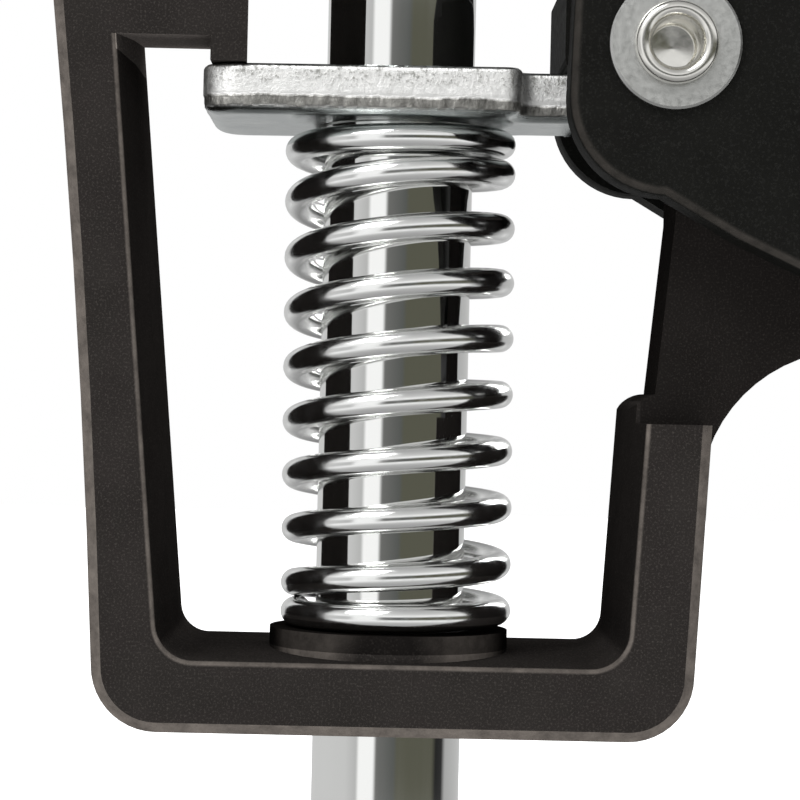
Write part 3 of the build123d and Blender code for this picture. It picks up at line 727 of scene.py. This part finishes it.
# ------------------------------------------------------------------ drive plate
plate_low, plate_high, _ = size("drive_plate")
shoulder_x, tongue_half = 7.95 * MM, 5.5 * MM
plate_outline = rounded_loop([
    (plate_high.x, -tongue_half, 0.3 * MM), (plate_high.x, tongue_half, 0.3 * MM),
    (shoulder_x, tongue_half, 0.9 * MM), (shoulder_x, plate_high.y, 1.2 * MM),
    (plate_low.x, plate_high.y, 2.5 * MM), (plate_low.x, plate_low.y, 2.5 * MM),
    (shoulder_x, plate_low.y, 1.2 * MM), (shoulder_x, -tongue_half, 0.9 * MM)], 0.2 * MM)
plate_t = plate_high.z - plate_low.z
plate_layers = [(0.0, 1.35), (0.02, 1.05), (0.07, 0.8), (0.14, 0.6), (0.23, 0.42), (0.34, 0.27), (0.47, 0.15),
                (0.61, 0.08), (0.77, 0.04)]
plate_layers += [(0.77 + 0.16 * k, 0.04) for k in range(1, 14)]
plate_layers += [(2.95, 0.05), (3.08, 0.12), (plate_t / MM, 0.28)]


def torn_edge(point, height):
    """Depth of the blanked edge's relief: torn back low down, gently wavy above."""
    up = height / plate_t
    torn = eased((up - 0.14) / 0.06) * eased((0.4 - up) / 0.06)
    streaks = noise.noise(Vector((point.x * 3200, point.y * 3200, height * 500)))
    waves = noise.noise(Vector((point.x * 700, point.y * 700, height * 900)))
    flat = eased(up / 0.12) * eased((1 - up) / 0.05)
    return (0.07 * torn + 0.035 * torn * streaks + 0.02 * waves * flat) * MM


# it stands a little out of square on the uneven spring: the tongue is the higher end
plate_lean = (Matrix.Translation((plate_low.x, 0, plate_low.z)) @ Matrix.Rotation(math.radians(-0.4), 4, "Y")
              @ Matrix.Translation((-plate_low.x, 0, 0)))
vertices, faces = slab_mesh(plate_outline, [(h * MM, inset * MM) for h, inset in plate_layers], plate_lean,
                            hole=(5.3 * MM, 96), relief=torn_edge)
new_piece("drive_plate_blanked", vertices, faces, "drive_plate", "zinc_sheared", ["drive_plate"], 40)

# ------------------------------------------------------------------ guide bushes
bore = 5.08
guide_bushes = {
    "lower": [(bore, 0.2), (bore + 0.2, 0), (5.75, 0), (5.9, 0.12), (5.9, 0.3), (5.6, 0.34), (5.6, 6.6),
              (5.42, 6.8), (bore + 0.15, 6.8), (bore, 6.62), (bore, 0.2)],
    "upper": [(bore, 74.4), (bore + 0.2, 74.2), (6.4, 74.2), (6.6, 74.4), (6.6, 79.5), (7.95, 79.5),
              (8.15, 79.56), (8.2, 79.7), (8.2, 80.3), (8.1, 80.5), (7.85, 80.72), (7.6, 80.8),
              (bore + 0.35, 80.8), (bore, 80.45), (bore, 74.4)],
}
for place, profile in guide_bushes.items():
    lathe(place + "_guide_bush_turned", [(r * MM, z * MM) for r, z in profile], (0, 0, 0), (0, 0, 1),
          "frame", "bush_nylon", [place + "_guide_bush"], 128)

# ------------------------------------------------------------------ rod end cap
cap_low, cap_high, _ = size("rod_end_cap")
cap_r = (cap_high.x - cap_low.x) / 2
cap_h = cap_high.z - cap_low.z
cap_round = 2 * MM            # radius round the bottom
cap_profile = [(0, 0), (cap_r - 1.9 * MM, 0)]
for degrees in range(10, 91, 10):
    a = math.radians(degrees)
    cap_profile.append((cap_r - cap_round + cap_round * math.sin(a), cap_round - cap_round * math.cos(a)))
cap_profile += [(cap_r, cap_round + (cap_h - 3.2 * MM) * k / 14) for k in range(1, 15)]
cap_profile += [(cap_r - 0.2 * MM, cap_h - 0.8 * MM), (cap_r - 0.7 * MM, cap_h - 0.15 * MM),
                (cap_r - 1.1 * MM, cap_h), (rod_r + 0.25 * MM, cap_h),
                (rod_r + 0.02 * MM, cap_h - 0.3 * MM), (rod_r + 0.02 * MM, 2.6 * MM), (0, 2.6 * MM)]


def cap_flutes(angle, along):
    """Finger grooves around the cap between its two ends."""
    reach = eased((along - 2.2 * MM) / (1.2 * MM)) * eased((cap_h - 1.6 * MM - along) / (1.2 * MM))
    return 0.55 * MM * reach * max(0.0, math.cos(12 * angle)) ** 0.7


lathe("rod_end_cap_fluted", cap_profile, (0, 0, cap_low.z), (0, 0, 1), "rod", "soft_rubber",
      ["rod_end_cap"], 192, 50, cap_flutes)

# ------------------------------------------------------------------ brake spring
brake_low, brake_high, _ = size("brake_spring")
brake_wire_r = 0.55 * MM
brake_spring = wire("brake_spring_coil",
                    coil_path((brake_high.x - brake_low.x) / 2 - brake_wire_r, brake_low.z + brake_wire_r,
                              brake_high.z - brake_wire_r, 3.3, 1.0),
                    brake_wire_r, "frame", "spring_steel", ["brake_spring"], 16)
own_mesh(brake_spring)


# ------------------------------------------------------------------ jaw pads
def tread_pad(name, node, body, up):
    """Rubber jaw pad: rounded slab with rows of small blocks on its working face."""
    low, high, centre = size(node)
    tread = 0.7 * MM
    thick = high.z - low.z - tread
    base = low.z if up > 0 else high.z - thick
    half_x, half_y = (high.x - low.x) / 2, (high.y - low.y) / 2
    outline = rounded_loop([(sx * half_x, sy * half_y, 2.5 * MM) for sx, sy in CORNERS], 0.8 * MM)
    soft = [(0.0, 0.3), (0.12, 0.1), (0.35, 0.0)]
    layers = [(h * MM, i * MM) for h, i in soft] + [(thick - h * MM, i * MM) for h, i in reversed(soft)]
    parts = [slab_mesh(outline, layers, Matrix.Translation((centre.x, centre.y, base)))]
    face = base + thick if up > 0 else base
    columns, rows = 10, 5
    for i in range(columns):
        for j in range(rows):
            x = low.x + 1.2 * MM + (2 * half_x - 2.4 * MM) * (i + 0.5) / columns
            y = low.y + 1.0 * MM + (2 * half_y - 2.0 * MM) * (j + 0.5) / rows
            parts.append(block((x, y, face - up * 0.05 * MM), (1.62 * MM, 1.4 * MM), tread + 0.05 * MM, up))
    vertices, faces = combined(parts)
    new_piece(name, vertices, faces, body, "pad_rubber", [node], 30)


tread_pad("moving_jaw_pad_tread", "moving_jaw_pad", "frame", 1)
tread_pad("fixed_jaw_pad_tread", "fixed_jaw_pad", "rod", -1)

# ------------------------------------------------------------------ handle, trigger and button ribs
side_y = abs(size("handle_grip_front")[0].y)
rib_x = [53.0, 56.0, 59.0, 62.0, 76.0, 79.0, 82.0]
parts = []
for sign in (-1, 1):
    for x in rib_x:
        middle = 65.3 + 0.35 * min(1.0, (x - 50) / 20)
        low = ((x - 0.8) * MM, sign * side_y, (middle - 4.3) * MM)
        high = ((x + 0.8) * MM, sign * side_y, (middle + 4.3) * MM)
        parts.append(ridge(low, high, (0, sign, 0), 1.5 * MM, 0.5 * MM))
vertices, faces = combined(parts)
new_piece("handle_grip_ribs", vertices, faces, "frame", "soft_rubber", (), 60)

pivot = Vector((17.3 * MM, 0, 45.2 * MM))
arm_angle = math.radians(-27)
arm_direction = Vector((math.cos(arm_angle), 0, math.sin(arm_angle)))
arm_across = Vector((-arm_direction.z, 0, arm_direction.x))


def trigger_point(along, across, y):
    """Point of the trigger from distances along and across its arm, in millimetres."""
    return pivot + arm_direction * along * MM + arm_across * across * MM + Vector((0, y * MM, 0))


parts = []
for k in range(10):
    along = 32 + 5 * k
    across = -7.45 - 0.00165 * (along - 52) ** 2
    parts.append(ridge(trigger_point(along, across, -9.8), trigger_point(along, across, 9.8), -arm_across,
                       2.0 * MM, 0.6 * MM))
vertices, faces = combined(parts)
new_piece("trigger_pad_ribs", vertices, faces, "trigger", "soft_rubber", (), 60)

brake_middle = Vector((0, 0, 67.0 * MM))
button_along = 30.3           # middle of the button, in millimetres along the brake plate
button_rise = 2.9 * MM        # top of the button over the plate's middle
tilt = math.radians(5)
slope = Vector((math.cos(tilt), 0, math.sin(tilt)))
lift_off = Vector((-math.sin(tilt), 0, math.cos(tilt)))
parts = []
for k in range(-2, 3):
    middle = brake_middle + slope * (button_along + 1.9 * k) * MM + lift_off * button_rise
    parts.append(ridge(middle + Vector((0, -4.6 * MM, 0)), middle + Vector((0, 4.6 * MM, 0)), lift_off,
                       1.1 * MM, 0.5 * MM))
vertices, faces = combined(parts)
new_piece("release_button_ribs", vertices, faces, "brake", "trigger_nylon", (), 60)

# ------------------------------------------------------------------ fasteners
cover_y = size("brake_cover_front")[0].y
parts = []
for x in (-14.6, 13.6):
    for sign in (-1, 1):
        foot = (x * MM, sign * (abs(cover_y) - 1.4 * MM), 60.4 * MM)
        parts.append(socket_head(foot, (0, sign, 0), radius=1.0 * MM, height=1.55 * MM, key=0.55 * MM,
                                 depth=0.5 * MM))
vertices, faces = combined(parts)
new_piece("brake_cover_screw_heads", vertices, faces, "frame", "black_steel", ["brake_cover_screws"], 35)

screw_at = [(48.0, 63.2), (70.0, 65.8), (88.0, 66.3)]
recess_y = 9.3                # floor of the grips' recesses
parts = []
for x, z in screw_at:
    foot = (x * MM, -recess_y * MM, z * MM)
    parts.append(socket_head(foot, (0, -1, 0), radius=2.85 * MM, height=1.75 * MM, key=1.45 * MM,
                             depth=1.1 * MM))
    parts.append(rod_mesh(foot, (x * MM, 10.6 * MM, z * MM), 1.45 * MM))
vertices, faces = combined(parts)
new_piece("grip_screw_set", vertices, faces, "frame", "black_steel", ["grip_screws"], 35)


def hexagon_nut(x, z, low_y, high_y, corner_r, bore_r, steps=48):
    """Hexagon nut with turned chamfers, as vertices and faces."""
    vertices, faces = [], []
    soft = 0.3 * MM

    def loop(y, limit):
        for k in range(steps):
            a = 2 * math.pi * k / steps
            sector = a % (math.pi / 3) - math.pi / 6
            r = min(limit, corner_r * math.cos(math.pi / 6) / math.cos(sector))
            vertices.append(Vector((x + r * math.cos(a), y, z + r * math.sin(a))))

    for y, limit in ((low_y, corner_r - soft), (low_y + soft, corner_r), (high_y - soft, corner_r),
                     (high_y, corner_r - soft), (high_y, bore_r + 0.2 * MM), (high_y - 0.2 * MM, bore_r),
                     (low_y, bore_r)):
        loop(y, limit)
    levels = 7
    for level in range(levels):
        after = (level + 1) % levels
        faces += [(level * steps + k, level * steps + (k + 1) % steps, after * steps + (k + 1) % steps,
                   after * steps + k) for k in range(steps)]
    return vertices, faces


vertices, faces = combined([hexagon_nut(x * MM, z * MM, recess_y * MM, 11.1 * MM, 3.1 * MM, 1.48 * MM)
                            for x, z in screw_at])
new_piece("grip_nut_set", vertices, faces, "frame", "black_steel", ["grip_nuts"], 30)

pin_high = size("fixed_jaw_pins")[1]
for label, z in (("lower", 149.5), ("upper", 157.5)):
    outer, inner, reach, soft = 1.5 * MM, 0.85 * MM, pin_high.y, 0.2 * MM
    profile = [(inner, -reach), (outer - soft, -reach), (outer, -reach + soft), (outer, reach - soft),
               (outer - soft, reach), (inner, reach), (inner, -reach)]
    lathe("fixed_jaw_pin_" + label, profile, (0, 0, z * MM), (0, 1, 0), "rod", "black_steel",
          ["fixed_jaw_pins"] if label == "lower" else (), 64)


# ------------------------------------------------------------------ studio
def studio_world():
    """White room for the camera; bright and dark cards for the metal; front-weighted light for the rest."""
    world = bpy.data.worlds.new("studio")
    bpy.context.scene.world = world
    world.use_nodes = True
    world.node_tree.nodes.clear()
    n = Nodes(world.node_tree)
    direction = n.split(n.add("TexCoord").outputs["Generated"])
    # around: 0.5 is straight ahead of the object's front, 0 and 1 straight behind it
    turn = n.calculate("ARCTAN2", direction["X"], n.calculate("MULTIPLY", direction["Y"], -1))
    around = n.calculate("MULTIPLY_ADD", turn, 1 / (2 * math.pi), 0.5)
    height = n.calculate("MULTIPLY_ADD", direction["Z"], 0.5, 0.5)

    def at(degrees):
        return 0.5 + degrees / 360

    horizon = n.ramp(around, [
        (0.0, 0.6), (at(-110), 0.62), (at(-66), 0.6), (at(-47), 0.5), (at(-42), 1.0), (at(-20), 1.0),
        (at(-15), (0.16, 0.16, 0.155)), (at(12), (0.1, 0.105, 0.1)), (at(17), (0.1, 0.1, 0.075)),
        (at(76), (0.1, 0.1, 0.075)), (at(84), 0.02), (at(97), 0.03), (at(106), 0.42), (1.0, 0.6)])
    # dark cards at the sides and behind, so that bright metal keeps its shape from every side
    cards = n.ramp(around, [
        (0.0, 0.3), (at(-150), 0.75), (at(-125), 0.28), (at(-95), 0.3), (at(-65), 1.0), (at(80), 1.0),
        (at(100), 0.3), (at(125), 0.28), (at(150), 0.75), (1.0, 0.3)])
    above = n.ramp(height, [(0.0, 1.0), (0.36, 1.0), (0.43, 0.0), (0.57, 0.0), (0.64, 1.0), (1.0, 1.0)])
    sky = n.ramp(height, [(0.0, 0.35), (0.2, 0.5), (0.34, 1.0), (0.44, 0.9), (0.56, 0.9), (0.66, 1.0),
                          (0.8, 0.6), (1.0, 0.4)])
    # soft light on matt surfaces comes mostly from the front
    soft = n.ramp(n.calculate("MULTIPLY_ADD", direction["Y"], -0.5, 0.5),
                  [(0.0, 0.75), (0.3, 0.5), (0.65, 1.0), (1.0, 1.2)])
    path = n.add("LightPath").outputs
    seen = n.mix(above, horizon, n.mix(1.0, sky, cards, "MULTIPLY"))
    seen = n.mix(path["Is Diffuse Ray"], seen, soft)
    seen = n.mix(path["Is Camera Ray"], seen, (1.0, 1.0, 1.0))
    lit = n.add("Background")
    n.feed(seen, lit.inputs["Color"])
    n.feed(lit.outputs[0], n.add("OutputWorld").inputs["Surface"])


def area_light(name, place, target, width, height, power):
    """Softbox aimed at a point."""
    light = bpy.data.lights.new(name, "AREA")
    light.shape = "RECTANGLE"
    light.size = width
    light.size_y = height
    light.energy = power
    lamp = bpy.data.objects.new(name, light)
    bpy.context.scene.collection.objects.link(lamp)
    lamp.location = place
    lamp.rotation_euler = (Vector(target) - Vector(place)).to_track_quat("-Z", "Y").to_euler()


def pale_floor():
    """Plain floor below the lowest point that the rod reaches when the jaws are closed."""
    low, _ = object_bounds()
    half, z = 3.0, low.z - 60 * MM
    mesh = bpy.data.meshes.new("floor")
    mesh.from_pydata([(sx * half, sy * half, z) for sx, sy in CORNERS], [], [(0, 1, 2, 3)])
    floor = bpy.data.objects.new("floor", mesh)
    bpy.context.scene.collection.objects.link(floor)
    s = Shader("floor_paper", (0.95, 0.95, 0.95), roughness=0.9, specular=0.1)
    s.set("Emission Color", (1, 1, 1, 1))
    s.set("Emission Strength", 0.7)
    mesh.materials.append(s.material)
    floor.visible_glossy = False


studio_world()
area_light("key", (-0.45, -0.55, 0.75), (0, 0, 0.03), 0.5, 0.5, 6.0)
area_light("rear", (0.55, 0.6, 0.45), (0, 0, 0.05), 0.5, 0.5, 4.0)
pale_floor()

# ------------------------------------------------------------------ camera
camera_distance = 190 * MM
view_level = 22.2 * MM        # height of the picture's centre
view_across = 0.44 * MM
camera_left = -1.25 * MM
roll = math.radians(1.3)
camera_data = bpy.data.cameras.new("camera")
camera_data.sensor_width = 36.0
camera_data.lens = 126.0
camera_data.clip_start = 0.01
camera = bpy.data.objects.new("camera", camera_data)
bpy.context.scene.collection.objects.link(camera)
eye = Vector((camera_left, -camera_distance, view_level))
aim = Vector((view_across, 0, view_level))
turned = (aim - eye).to_track_quat("-Z", "Y").to_matrix().to_4x4()
camera.matrix_world = Matrix.Translation(eye) @ turned @ Matrix.Rotation(roll, 4, "Z")
bpy.context.scene.camera = camera
bpy.context.scene.view_settings.view_transform = "Standard"
